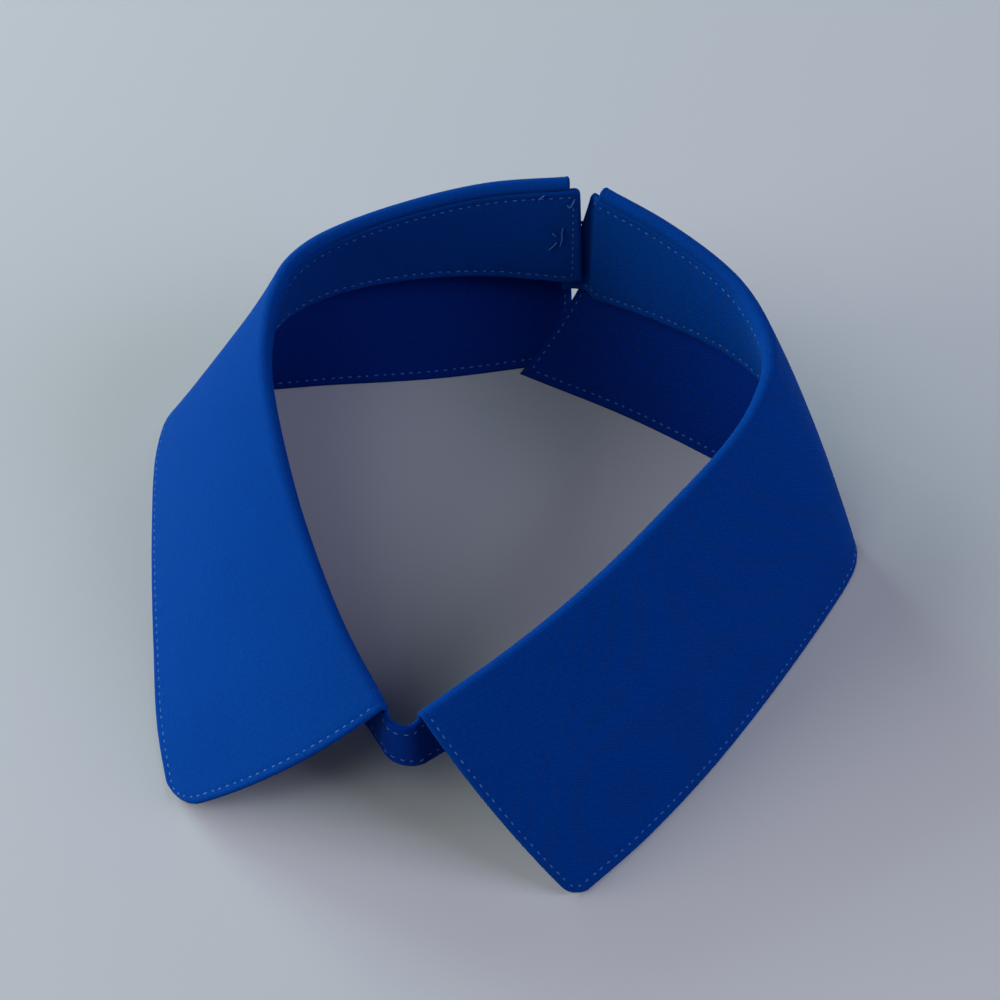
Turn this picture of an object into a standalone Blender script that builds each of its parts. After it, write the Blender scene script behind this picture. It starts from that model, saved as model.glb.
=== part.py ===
"""Detachable shirt collar, standing by itself as if worn.

A stand band runs once round the neck. It turns in a tight loop at the front, and its two
ends meet at the centre back. A leaf is sewn to each half of the band's upper edge. It
rolls over and falls outside the band to a hem that rests on the table. A small button on
the left end of the band holds a cord loop sewn to the right end.

The tables are in millimetres: x to the right, y to the back, z up, with the front of the
collar at the low end of y. The model is built in metres.
"""

import math
from typing import NamedTuple

import bmesh
import bpy
from mathutils import Matrix, Vector

MM = 0.001

# Cloth thicknesses and the gap between sewn pieces
BAND_WALL = 1.5
LEAF_WALL = 1.2
SEAM_GAP = 0.3

# The band's top lies this far under the crest of the roll, and the leaf's seam end above it
BAND_DROP = 1.7
ROLL_RISE = 1.2
ROLL_RADIUS = 1.1
POINT_RADIUS = 4.5

# The band's left end reaches past its leaf
LEFT_TAB = 2.3

# Button on the left end of the band, on the outside
BUTTON_SHARE = 0.02
BUTTON_HEIGHT = 41.0
BUTTON_RADIUS = 4.3
BUTTON_THICKNESS = 1.5
BUTTON_EDGE = 0.3
BUTTON_RIM = 1.0
BUTTON_DISH = 0.35
SHANK_RADIUS = 0.9
SHANK_LENGTH = 1.4

# Cord loop that runs from the right end of the band round the shank
LOOP_THICKNESS = 0.8
LOOP_TURN = 1.6
LOOP_SIDES = 10
LOOP_STEPS = 12

# How finely the walls are divided, and the last rows of a leaf above its hem
LEAF_COLUMNS = 46
ROLL_STEPS = 6
FALL_STEPS = 9
HEM_ROWS = (2.6, 1.2, 0.0)
BAND_ROWS = 5
ROUND_SIDES = 24


class Section(NamedTuple):
    """One section across the collar, from the band's foot over the roll to the hem."""

    share: float  # place along the leaf, 0 at the centre back and 1 at the front edge
    roll_x: float  # crest of the roll
    roll_y: float
    roll_z: float
    foot_out: float  # how far the band's lower edge stands outside its upper edge
    foot_z: float
    hem_x: float  # the leaf's hem on the table
    hem_y: float
    bow: float  # how far the fall bows out between the roll and the hem
    sway: float  # how far its middle drifts along the collar towards the front


LEFT_HALF = (
    Section(0.000, 2.6, 74.0, 56.3, 0.0, 25.6, 5.5, 72.6, 8.5, 0.0),
    Section(0.110, -15.4, 67.7, 55.2, 1.0, 27.6, -23.1, 58.6, 6.5, 0.0),
    Section(0.220, -32.7, 58.0, 53.2, 2.0, 29.5, -52.3, 47.5, 3.2, 0.0),
    Section(0.310, -45.2, 48.0, 51.2, 3.5, 29.8, -72.0, 39.0, 0.4, 0.0),
    Section(0.370, -51.0, 39.3, 49.8, 5.0, 29.0, -78.4, 34.0, -1.4, 0.0),
    Section(0.415, -52.2, 31.0, 48.5, 6.0, 28.0, -80.6, 29.0, -0.2, 0.0),
    Section(0.460, -51.4, 23.0, 47.2, 6.0, 27.2, -80.4, 22.9, 1.2, 0.0),
    Section(0.520, -48.5, 12.4, 45.6, 6.0, 26.2, -78.4, 13.8, 1.5, 0.0),
    Section(0.600, -42.3, -0.8, 43.3, 5.5, 24.8, -73.8, 0.2, 1.5, 0.0),
    Section(0.700, -33.5, -16.1, 40.4, 4.5, 22.8, -67.3, -17.2, 1.5, 0.0),
    Section(0.800, -23.4, -30.9, 37.6, 3.5, 20.8, -60.0, -35.5, 1.5, 0.5),
    Section(0.900, -12.6, -44.9, 34.9, 2.0, 19.2, -51.8, -53.7, 1.5, 1.5),
    Section(1.000, -0.5, -57.9, 32.3, 0.8, 17.8, -41.9, -71.2, 1.5, 3.0),
)

RIGHT_HALF = (
    Section(0.000, 9.8, 75.3, 54.0, -0.3, 21.0, -6.0, 64.8, 11.0, 0.5),
    Section(0.110, 27.1, 69.0, 52.4, -1.0, 25.0, 23.3, 58.1, 7.5, 0.5),
    Section(0.220, 43.3, 59.7, 50.8, 1.5, 26.6, 52.9, 48.3, 3.5, 0.0),
    Section(0.310, 53.0, 48.0, 49.8, 5.0, 27.3, 73.0, 40.8, 2.1, 0.0),
    Section(0.370, 56.5, 38.2, 49.0, 6.0, 27.3, 79.4, 35.8, 1.5, 0.0),
    Section(0.415, 56.4, 30.2, 48.0, 6.0, 27.0, 81.2, 30.2, 1.4, 0.0),
    Section(0.460, 54.9, 22.6, 46.8, 6.0, 26.5, 80.6, 24.0, 1.5, 0.0),
    Section(0.520, 51.3, 13.1, 45.1, 6.0, 25.8, 78.3, 14.8, 1.5, 0.0),
    Section(0.600, 45.6, 0.8, 42.9, 5.5, 24.6, 74.3, 0.9, 1.5, 0.0),
    Section(0.700, 38.1, -14.2, 40.2, 4.5, 22.6, 68.6, -16.9, 1.5, 0.0),
    Section(0.800, 29.3, -28.9, 37.4, 3.5, 20.8, 61.8, -35.4, 1.5, 0.5),
    Section(0.900, 19.5, -43.2, 34.8, 2.5, 19.0, 53.6, -53.6, 1.5, 1.8),
    Section(1.000, 8.4, -57.8, 32.3, 1.8, 17.4, 42.2, -70.0, 1.5, 3.5),
)


class Turn(NamedTuple):
    """One section of the band alone, past the end of a leaf."""

    top_x: float
    top_y: float
    top_z: float
    foot_x: float
    foot_y: float
    foot_z: float


FRONT_LOOP = (
    Turn(1.3, -58.3, 29.6, 0.9, -58.9, 17.6),
    Turn(2.5, -59.1, 29.5, 2.9, -59.9, 17.5),
    Turn(3.9, -59.4, 29.5, 4.9, -60.2, 17.5),
    Turn(5.3, -59.2, 29.5, 6.9, -59.8, 17.5),
    Turn(6.5, -58.4, 29.6, 8.5, -58.9, 17.5),
)

RIGHT_TAB = (
    Turn(8.9, 74.9, 52.2, 8.2, 75.1, 21.0),
    Turn(8.2, 75.6, 52.1, 6.0, 76.1, 21.0),
    Turn(7.4, 75.9, 52.1, 1.0, 74.9, 21.2),
)


def ease(rows, share):
    """Reads every column of a table at a share, on a smooth curve through its rows."""
    last = len(rows) - 2
    low = next((i for i in range(last) if share <= rows[i + 1].share), last)
    before, start, end, after = (
        rows[max(low - 1, 0)],
        rows[low],
        rows[low + 1],
        rows[min(low + 2, last + 1)],
    )
    span = end.share - start.share
    t = (share - start.share) / span
    values = [share]
    for a, b, c, d in list(zip(before, start, end, after))[1:]:
        leave = (c - a) / (end.share - before.share) * span
        arrive = (d - b) / (after.share - start.share) * span
        values.append(
            b * (2 * t**3 - 3 * t**2 + 1)
            + leave * (t**3 - 2 * t**2 + t)
            + c * (3 * t**2 - 2 * t**3)
            + arrive * (t**3 - t**2)
        )
    return Section(*values)


def outward(rows, share, side):
    """Gives the level direction that points out of the neck at a share of one half.

    The side is 1 on the left half, whose sections run clockwise, and -1 on the right.
    """
    step = 0.01
    here = ease(rows, max(share - step, 0.0))
    ahead = ease(rows, min(share + step, 1.0))
    along = Vector((ahead.roll_x - here.roll_x, ahead.roll_y - here.roll_y, 0.0)).normalized()
    return Vector((along.y, -along.x, 0.0)) * side


def band_line(rows, share, side):
    """Gives the top and the foot of the band's middle line at a share of one half."""
    section = ease(rows, share)
    out = outward(rows, share, side)
    crest = Vector((section.roll_x, section.roll_y, section.roll_z))
    top = crest - out * ROLL_RADIUS - Vector((0.0, 0.0, BAND_DROP))
    foot = Vector((top.x, top.y, section.foot_z)) + out * section.foot_out
    return top, foot


def leaf_line(rows, share, side):
    """Gives the middle line of a leaf at a share, from its seam over the roll to the hem."""
    section = ease(rows, share)
    out = outward(rows, share, side)
    up = Vector((0.0, 0.0, 1.0))
    centre = Vector((section.roll_x, section.roll_y, section.roll_z - ROLL_RADIUS))
    hem = Vector((section.hem_x, section.hem_y, 0.0))
    fall = hem - (centre + out * ROLL_RADIUS)
    across = fall.cross(out.cross(up)).normalized()
    if across.dot(out) < 0.0:
        across = -across
    slope = math.atan2(fall.dot(out) + 2.0 * section.bow, -fall.z)
    end = max(slope, 0.0)
    line = [centre - out * ROLL_RADIUS - up * (ROLL_RISE - ROLL_RADIUS)]
    for i in range(ROLL_STEPS + 1):
        angle = math.pi - (math.pi - end) * i / ROLL_STEPS
        line.append(centre + (out * math.cos(angle) + up * math.sin(angle)) * ROLL_RADIUS)
    start = line[-1]
    forward = Vector((-out.y, out.x, 0.0)) * side
    pull = (start + hem) / 2 + (across * section.bow + forward * section.sway) * 2.0
    length = (hem - start).length
    margin = POINT_RADIUS / length
    turns = [(i + 1) / FALL_STEPS * (1.0 - margin) for i in range(FALL_STEPS)]
    turns += [1.0 - height / length for height in HEM_ROWS]
    for t in turns:
        line.append(start * (1 - t) ** 2 + pull * 2 * t * (1 - t) + hem * t**2)
    return line


def wall(middle, thickness):
    """Gives the outer and inner points of a wall about a grid of middle points.

    The grid's first index runs along the neck and its second from the seam to the hem.
    """
    outer, inner = [], []
    for i, column in enumerate(middle):
        before, after = middle[max(i - 1, 0)], middle[min(i + 1, len(middle) - 1)]
        for j, point in enumerate(column):
            along = after[j] - before[j]
            down = column[min(j + 1, len(column) - 1)] - column[max(j - 1, 0)]
            normal = along.cross(down).normalized() * thickness / 2
            outer.append(point + normal)
            inner.append(point - normal)
    return outer, inner


def rest(points, rows_across):
    """Sets each hem point of a wall on the table, slid along its own last step."""
    for k in range(rows_across - 1, len(points), rows_across):
        step = points[k] - points[k - 1]
        points[k] = points[k] - step * (points[k].z / step.z)
    return points


def skin(name, outer, inner, rows_across):
    """Makes one closed solid from the two faces of a wall."""
    mesh = bmesh.new()
    sides = [[mesh.verts.new(p * MM) for p in side] for side in (outer, inner)]
    columns = len(outer) // rows_across

    def face(*corners):
        mesh.faces.new([sides[s][i * rows_across + j] for s, i, j in corners])

    for i in range(columns - 1):
        for j in range(rows_across - 1):
            face((0, i, j), (0, i + 1, j), (0, i + 1, j + 1), (0, i, j + 1))
            face((1, i, j), (1, i, j + 1), (1, i + 1, j + 1), (1, i + 1, j))
        face((0, i, 0), (1, i, 0), (1, i + 1, 0), (0, i + 1, 0))
        last = rows_across - 1
        face((0, i, last), (0, i + 1, last), (1, i + 1, last), (1, i, last))
    for j in range(rows_across - 1):
        face((0, 0, j), (0, 0, j + 1), (1, 0, j + 1), (1, 0, j))
        end = columns - 1
        face((0, end, j), (1, end, j), (1, end, j + 1), (0, end, j + 1))
    bmesh.ops.triangulate(mesh, faces=mesh.faces[:])
    bmesh.ops.recalc_face_normals(mesh, faces=mesh.faces[:])
    return place(name, mesh)


def place(name, mesh):
    """Puts a finished mesh into the scene as a named object."""
    data = bpy.data.meshes.new(name)
    mesh.to_mesh(data)
    mesh.free()
    piece = bpy.data.objects.new(name, data)
    bpy.context.collection.objects.link(piece)
    return piece


def finish(piece, colour, roughness):
    """Gives a piece its own plain material."""
    material = bpy.data.materials.new(piece.name + "_finish")
    material.use_nodes = True
    shader = material.node_tree.nodes["Principled BSDF"]
    shader.inputs["Base Color"].default_value = (*colour, 1.0)
    shader.inputs["Roughness"].default_value = roughness
    shader.inputs["Metallic"].default_value = 0.0
    piece.data.materials.append(material)


def rounded_share(share, below, length):
    """Draws a share back near the front edge, so that the leaf's point is round.

    The second value is how far the place lies above the hem.
    """
    bend = 1.0 - 2.5 * POINT_RADIUS / length
    if share <= bend or below >= POINT_RADIUS:
        return share
    reach = math.sqrt(POINT_RADIUS**2 - (POINT_RADIUS - below) ** 2)
    limit = 1.0 - (POINT_RADIUS - reach) / length
    return bend + (share - bend) * (limit - bend) / (1.0 - bend)


def make_leaf(name, rows, side):
    """Builds one leaf, with its front point rounded."""
    hems = [leaf_line(rows, i / LEAF_COLUMNS, side)[-1] for i in range(LEAF_COLUMNS + 1)]
    length = sum((b - a).length for a, b in zip(hems, hems[1:]))
    middle = []
    for i in range(LEAF_COLUMNS + 1):
        share = i / LEAF_COLUMNS
        plain = leaf_line(rows, share, side)
        column = []
        for j, point in enumerate(plain):
            drawn = rounded_share(share, (plain[-1] - point).length, length)
            column.append(leaf_line(rows, drawn, side)[j])
        middle.append(column)
    rows_across = len(middle[0])
    outer, inner = wall(middle, LEAF_WALL)
    return skin(name, rest(outer, rows_across), rest(inner, rows_across), rows_across)


def clear_scene():
    """Removes what the scene holds before the build."""
    for item in list(bpy.data.objects):
        bpy.data.objects.remove(item, do_unlink=True)


def make_band():
    """Builds the stand band as one strip, from the left tab round the loop to the right."""
    shares = [i / LEAF_COLUMNS for i in range(LEAF_COLUMNS + 1)]
    left = [band_line(LEFT_HALF, share, 1.0) for share in shares]
    right = [band_line(RIGHT_HALF, share, -1.0) for share in reversed(shares)]
    past = (left[0][0] - left[1][0]).normalized() * LEFT_TAB
    tab = [(left[0][0] + past, left[0][1] + past)]
    turns = []
    for table in (FRONT_LOOP, RIGHT_TAB):
        turns.append([(Vector(turn[:3]), Vector(turn[3:])) for turn in table])
    middle = []
    for top, foot in tab + left + turns[0] + right + turns[1]:
        middle.append([top.lerp(foot, j / (BAND_ROWS - 1)) for j in range(BAND_ROWS)])
    outer, inner = wall(middle, BAND_WALL)
    return skin("band", outer, inner, BAND_ROWS)


def button_frame():
    """Gives the place of the button on the band's outer face, and the way out from it."""
    top, foot = band_line(LEFT_HALF, BUTTON_SHARE, 1.0)
    out = outward(LEFT_HALF, BUTTON_SHARE, 1.0)
    place_on = top.lerp(foot, (top.z - BUTTON_HEIGHT) / (top.z - foot.z))
    return place_on + out * BAND_WALL / 2, out


def tube(name, rings):
    """Makes one closed solid from rings of points, with a flat face at each end."""
    mesh = bmesh.new()
    loops = [[mesh.verts.new(p * MM) for p in ring] for ring in rings]
    sides = len(rings[0])
    for first, second in zip(loops, loops[1:]):
        for k in range(sides):
            after = (k + 1) % sides
            mesh.faces.new((first[k], first[after], second[after], second[k]))
    mesh.faces.new(loops[0])
    mesh.faces.new(loops[-1])
    bmesh.ops.triangulate(mesh, faces=mesh.faces[:])
    bmesh.ops.recalc_face_normals(mesh, faces=mesh.faces[:])
    return place(name, mesh)


def ring(centre, across, up, radius, sides):
    """Gives the points of a circle in the plane of two directions."""
    points = []
    for k in range(sides):
        angle = 2 * math.pi * k / sides
        points.append(centre + (across * math.cos(angle) + up * math.sin(angle)) * radius)
    return points


def turned(name, profile):
    """Builds a round piece about the button's axis from radii and heights off the band."""
    seat, out = button_frame()
    up = Vector((0.0, 0.0, 1.0))
    rings = [ring(seat + out * height, out.cross(up), up, radius, ROUND_SIDES) for radius, height in profile]
    return tube(name, rings)


def make_shank():
    """Builds the thread that holds the button off the band."""
    return turned("button_shank", ((SHANK_RADIUS, SEAM_GAP), (SHANK_RADIUS, SEAM_GAP + SHANK_LENGTH)))


def make_button():
    """Builds the button as a round disc with a raised rim on its outer face."""
    back = 2 * SEAM_GAP + SHANK_LENGTH
    front = back + BUTTON_THICKNESS
    inside = BUTTON_RADIUS - BUTTON_RIM
    profile = (
        (BUTTON_RADIUS - BUTTON_EDGE, back),
        (BUTTON_RADIUS, back + BUTTON_EDGE),
        (BUTTON_RADIUS, front - BUTTON_EDGE),
        (BUTTON_RADIUS - BUTTON_EDGE, front),
        (inside, front),
        (inside - BUTTON_DISH, front - BUTTON_DISH),
    )
    return turned("button", profile)


def make_loop():
    """Builds the cord loop, from one leg on the right end round the shank and back."""
    seat, out = button_frame()
    up = Vector((0.0, 0.0, 1.0))
    centre = seat + out * (SEAM_GAP + SHANK_LENGTH / 2)
    along = out.cross(up)
    tab_top, tab_foot = Vector(RIGHT_TAB[-1][:3]), Vector(RIGHT_TAB[-1][3:])

    def leg(height):
        z = centre.z + height
        edge = tab_top.lerp(tab_foot, (tab_top.z - z) / (tab_top.z - tab_foot.z))
        start = centre + up * height
        return edge - (edge - start).normalized() * SEAM_GAP

    path = [leg(-LOOP_TURN)]
    for k in range(LOOP_STEPS + 1):
        angle = math.pi * (1.5 - k / LOOP_STEPS)
        path.append(centre + (along * math.cos(angle) + up * math.sin(angle)) * LOOP_TURN)
    path.append(leg(LOOP_TURN))
    rings = []
    for k, point in enumerate(path):
        way = (path[min(k + 1, len(path) - 1)] - path[max(k - 1, 0)]).normalized()
        side = way.cross(out).normalized()
        rings.append(ring(point, side, side.cross(way), LOOP_THICKNESS / 2, LOOP_SIDES))
    return tube("button_loop", rings)


def centre_footprint(pieces):
    """Moves every piece so that the middle of the whole footprint is the origin."""
    spots = [vertex.co for piece in pieces for vertex in piece.data.vertices]
    shift = [-(max(p[axis] for p in spots) + min(p[axis] for p in spots)) / 2 for axis in (0, 1)]
    for piece in pieces:
        piece.data.transform(Matrix.Translation((*shift, 0.0)))


def main():
    """Builds every piece of the collar."""
    clear_scene()
    cloth, plastic, thread = (0.01, 0.09, 0.42), (0.01, 0.03, 0.14), (0.04, 0.14, 0.42)
    band = make_band()
    leaves = [make_leaf("leaf_left", LEFT_HALF, 1.0), make_leaf("leaf_right", RIGHT_HALF, -1.0)]
    button, shank, loop = make_button(), make_shank(), make_loop()
    centre_footprint([band, *leaves, button, shank, loop])
    for piece in (band, *leaves):
        finish(piece, cloth, 0.8)
    finish(button, plastic, 0.35)
    finish(shank, thread, 0.7)
    finish(loop, thread, 0.6)


main()
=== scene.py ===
"""Detachable shirt collar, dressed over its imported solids.

The collar is twill folded double. A stand band runs round the neck with a tight loop at the
front, and two leaves roll over its top edge and fall to the table. Lengths in the tables
are millimetres: x to the right, y to the back and z up.
"""

import logging
import math
from dataclasses import dataclass
from enum import Enum
from typing import NamedTuple

import bmesh
import bpy
import numpy as np
from mathutils import Matrix, Vector


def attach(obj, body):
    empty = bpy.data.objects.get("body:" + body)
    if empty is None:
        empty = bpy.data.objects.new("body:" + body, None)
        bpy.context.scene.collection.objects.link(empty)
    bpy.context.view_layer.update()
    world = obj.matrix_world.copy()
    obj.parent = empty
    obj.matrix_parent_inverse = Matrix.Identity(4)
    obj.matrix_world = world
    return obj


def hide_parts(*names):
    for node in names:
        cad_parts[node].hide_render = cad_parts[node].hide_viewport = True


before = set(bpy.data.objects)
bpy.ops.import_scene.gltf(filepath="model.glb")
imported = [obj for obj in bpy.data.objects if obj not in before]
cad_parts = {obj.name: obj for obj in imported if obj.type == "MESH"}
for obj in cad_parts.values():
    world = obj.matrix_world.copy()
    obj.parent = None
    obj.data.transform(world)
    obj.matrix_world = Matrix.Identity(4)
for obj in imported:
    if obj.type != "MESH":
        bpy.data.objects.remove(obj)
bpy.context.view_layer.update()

LOG = logging.getLogger("collar")
MM = 0.001
UP = np.array((0.0, 0.0, 1.0))

# Millimetres from the tables' place to the collar's place in the scene.
SHIFT = np.array((-0.187, -5.565, 0.0))

# Lays the poles of a ball along x, so that a stitch is pointed at its ends.
ACROSS = Matrix.Rotation(math.pi / 2, 4, "Y")

# Cloth coordinates of the twill's side that is darkened with painted shade start this many
# millimetres down.
PAINTED_SHADE_AT = 200.0

# Millimetres from a turned edge where the mesh of a cloth has its rows and columns.
EDGE_STEPS = (0.0, 0.05, 0.18, 0.38, 0.7, 1.1, 1.5, 1.75, 2.0, 2.3, 2.7)

Colour = tuple[float, float, float]
Value = float | tuple[float, ...]


class Face(Enum):
    """The two faces of a folded cloth, as a factor on its outward normal."""

    OUTER = 1.0
    INNER = -1.0


class Section(NamedTuple):
    """One section across the collar, from the band's foot over the roll to the hem."""

    share: float
    roll_x: float
    roll_y: float
    roll_z: float
    foot_out: float
    foot_z: float
    hem_x: float
    hem_y: float
    bow: float
    sway: float


# Columns of a section's row once it is an array.
ROLL, FOOT_OUT, FOOT_Z, HEM, BOW, SWAY = slice(1, 4), 4, 5, slice(6, 8), 8, 9


class Turn(NamedTuple):
    """One section of the band alone, past the end of a leaf."""

    top_x: float
    top_y: float
    top_z: float
    foot_x: float
    foot_y: float
    foot_z: float


class Wave(NamedTuple):
    """A soft hollow or swell in the cloth: its place, its reach and its height."""

    share: float
    down: float
    share_reach: float
    down_reach: float
    height: float
    slant: float


class Knot(NamedTuple):
    """A point of a loose thread: millimetres along the band, down it and off its face."""

    along: float
    down: float
    off: float


class Lamp(NamedTuple):
    """One soft lamp: its direction in degrees, its power in watts and its colour."""

    name: str
    azimuth: float
    elevation: float
    power: float
    colour: Colour


LEFT_HALF = (
    Section(0.000, 2.6, 74.0, 56.3, 0.0, 25.6, 5.5, 72.6, 8.5, 0.0),
    Section(0.110, -15.4, 67.7, 55.2, 1.0, 27.6, -23.1, 58.6, 6.5, 0.0),
    Section(0.220, -32.7, 58.0, 53.2, 2.0, 29.5, -52.3, 47.5, 3.2, 0.0),
    Section(0.310, -45.2, 48.0, 51.2, 3.5, 29.8, -72.0, 39.0, 0.4, 0.0),
    Section(0.370, -51.0, 39.3, 49.8, 5.0, 29.0, -78.4, 34.0, -1.4, 0.0),
    Section(0.415, -52.2, 31.0, 48.5, 6.0, 28.0, -80.6, 29.0, -0.2, 0.0),
    Section(0.460, -51.4, 23.0, 47.2, 6.0, 27.2, -80.4, 22.9, 1.2, 0.0),
    Section(0.520, -48.5, 12.4, 45.6, 6.0, 26.2, -78.4, 13.8, 1.5, 0.0),
    Section(0.600, -42.3, -0.8, 43.3, 5.5, 24.8, -73.8, 0.2, 1.5, 0.0),
    Section(0.700, -33.5, -16.1, 40.4, 4.5, 22.8, -67.3, -17.2, 1.5, 0.0),
    Section(0.800, -23.4, -30.9, 37.6, 3.5, 20.8, -60.0, -35.5, 1.5, 0.5),
    Section(0.900, -12.6, -44.9, 34.9, 2.0, 19.2, -52.3, -53.9, 1.5, 1.5),
    Section(1.000, -0.5, -57.9, 32.3, 0.8, 17.8, -42.5, -72.4, 1.5, 3.7),
)

RIGHT_HALF = (
    Section(0.000, 9.8, 75.3, 54.0, -0.3, 21.0, -6.0, 64.8, 11.0, 0.5),
    Section(0.110, 27.1, 69.0, 52.4, -1.0, 25.0, 23.3, 58.1, 7.5, 0.5),
    Section(0.220, 43.3, 59.7, 50.8, 1.5, 26.6, 52.9, 48.3, 3.5, 0.0),
    Section(0.310, 53.0, 48.0, 49.8, 5.0, 27.3, 73.0, 40.8, 2.1, 0.0),
    Section(0.370, 56.5, 38.2, 49.0, 6.0, 27.3, 79.4, 35.8, 1.5, 0.0),
    Section(0.415, 56.4, 30.2, 48.0, 6.0, 27.0, 81.2, 30.2, 1.4, 0.0),
    Section(0.460, 54.9, 22.6, 46.8, 6.0, 26.5, 80.6, 24.0, 1.5, 0.0),
    Section(0.520, 51.3, 13.1, 45.1, 6.0, 25.8, 78.3, 14.8, 1.5, 0.0),
    Section(0.600, 45.6, 0.8, 42.9, 5.5, 24.6, 74.3, 0.9, 1.5, 0.0),
    Section(0.700, 38.1, -14.2, 40.2, 4.5, 22.6, 68.6, -16.9, 1.5, 0.0),
    Section(0.800, 29.3, -28.9, 37.4, 3.5, 20.8, 61.8, -35.4, 1.5, 0.5),
    Section(0.900, 19.5, -43.2, 34.8, 2.5, 19.0, 53.6, -53.6, 1.5, 1.8),
    Section(1.000, 8.4, -57.8, 32.3, 1.8, 17.4, 44.1, -70.7, 1.5, 1.7),
)

FRONT_LOOP = (
    Turn(1.3, -58.3, 29.6, 0.9, -58.9, 17.6),
    Turn(2.5, -59.1, 29.5, 2.9, -59.9, 17.5),
    Turn(3.9, -59.4, 29.5, 4.9, -60.2, 17.5),
    Turn(5.3, -59.2, 29.5, 6.9, -59.8, 17.5),
    Turn(6.5, -58.4, 29.6, 8.5, -58.9, 17.5),
)

RIGHT_TAB = (
    Turn(8.9, 74.9, 52.2, 8.2, 75.1, 21.0),
    Turn(8.2, 75.6, 52.1, 6.0, 76.1, 21.0),
    Turn(7.4, 75.9, 52.1, 1.0, 74.9, 21.2),
)

BAND_WAVES = (
    Wave(0.012, 0.48, 0.011, 0.22, 0.10, 0.3),
    Wave(0.0150, 0.46, 0.0055, 0.11, 0.42, 0.5),
    Wave(0.0085, 0.62, 0.0040, 0.10, 0.22, -0.4),
    Wave(0.10, 0.55, 0.05, 0.6, 0.30, 0.2),
    Wave(0.22, 0.45, 0.05, 0.5, -0.25, -0.3),
    Wave(0.62, 0.60, 0.020, 0.5, 0.22, 0.5),
    Wave(0.655, 0.55, 0.012, 0.35, -0.20, 0.6),
    Wave(0.80, 0.62, 0.020, 0.35, 0.30, 0.7),
    Wave(0.835, 0.58, 0.012, 0.30, -0.24, 0.7),
    Wave(0.93, 0.45, 0.04, 0.5, 0.25, 0.0),
)
LEFT_WAVES = (
    Wave(0.16, 0.55, 0.08, 0.4, 0.25, 0.3),
    Wave(0.34, 0.45, 0.05, 0.5, 0.30, 0.4),
    Wave(0.47, 0.60, 0.05, 0.5, -0.30, 0.5),
    Wave(0.66, 0.50, 0.08, 0.4, 0.28, -0.3),
    Wave(0.85, 0.60, 0.06, 0.4, -0.22, 0.3),
)
RIGHT_WAVES = (
    Wave(0.16, 0.55, 0.07, 0.4, 0.25, 0.3),
    Wave(0.38, 0.50, 0.05, 0.5, 0.28, -0.3),
    Wave(0.52, 0.55, 0.05, 0.5, -0.28, -0.4),
    Wave(0.70, 0.45, 0.08, 0.4, 0.25, 0.3),
    Wave(0.88, 0.60, 0.05, 0.4, -0.22, -0.2),
)

INNER_STRANDS = (
    (
        Knot(4.3, 11.2, 0.0),
        Knot(4.5, 12.7, 0.2),
        Knot(4.45, 14.4, 0.3),
        Knot(4.6, 15.7, 0.2),
        Knot(4.85, 17.0, 0.0),
    ),
    (Knot(5.6, 15.7, 0.05), Knot(6.2, 16.3, 0.2), Knot(6.9, 17.1, 0.2), Knot(7.5, 17.7, 0.05)),
    (Knot(6.7, 12.8, 0.0), Knot(6.3, 13.3, 0.2), Knot(5.8, 13.9, 0.0)),
    (
        Knot(1.7, 2.3, 0.1),
        Knot(2.2, 3.2, 0.5),
        Knot(2.8, 4.2, 0.6),
        Knot(3.25, 4.2, 0.5),
        Knot(3.5, 3.7, 0.3),
    ),
    (Knot(9.9, 1.9, 0.1), Knot(9.4, 1.0, 0.3), Knot(8.7, 0.3, 0.4)),
)

LAMPS = (
    Lamp("key", 210.0, 18.0, 15.5, (0.96, 1.0, 0.92)),
    Lamp("left_back", 148.0, 18.0, 25.5, (0.68, 0.98, 0.92)),
    Lamp("left_high", 180.0, 35.0, 8.5, (0.92, 0.84, 1.0)),
    Lamp("overhead", 248.0, 56.0, 5.2, (0.85, 0.98, 1.0)),
    Lamp("right", 0.0, 35.0, 14.3, (0.71, 0.75, 1.0)),
    Lamp("behind", 80.0, 14.0, 5.0, (0.95, 0.95, 1.0)),
)


def curve_through(places: np.ndarray, values: np.ndarray, at: np.ndarray) -> np.ndarray:
    """Reads a smooth curve through rows of values.

    Args:
        places: Rising place of each row.
        values: One row of values for each place.
        at: Places to read.

    Returns:
        One row of values for each place read.
    """
    last = len(places) - 1
    low = np.clip(np.searchsorted(places, at, side="left") - 1, 0, last - 1)
    slopes = np.empty_like(values)
    slopes[1:-1] = (values[2:] - values[:-2]) / (places[2:] - places[:-2])[:, None]
    slopes[0] = (values[1] - values[0]) / (places[1] - places[0])
    slopes[-1] = (values[-1] - values[-2]) / (places[-1] - places[-2])
    span = (places[low + 1] - places[low])[:, None]
    t = (np.asarray(at) - places[low])[:, None] / span
    return (
        values[low] * (2 * t**3 - 3 * t**2 + 1)
        + slopes[low] * span * (t**3 - 2 * t**2 + t)
        + values[low + 1] * (3 * t**2 - 2 * t**3)
        + slopes[low + 1] * span * (t**3 - t**2)
    )


def unit(vectors: np.ndarray) -> np.ndarray:
    """Scales each vector to length one."""
    return vectors / np.maximum(np.linalg.norm(vectors, axis=-1, keepdims=True), 1e-9)


def run_along(points: np.ndarray) -> np.ndarray:
    """Gives the length run along a path up to each of its points."""
    steps = np.linalg.norm(np.diff(points, axis=0), axis=1)
    return np.concatenate(((0.0,), np.cumsum(steps)))


def read_along(run: np.ndarray, rows: np.ndarray, at: np.ndarray) -> np.ndarray:
    """Reads rows of values along a path, in straight lines, at the given lengths."""
    return np.stack([np.interp(at, run, column) for column in rows.T], axis=1)


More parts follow.
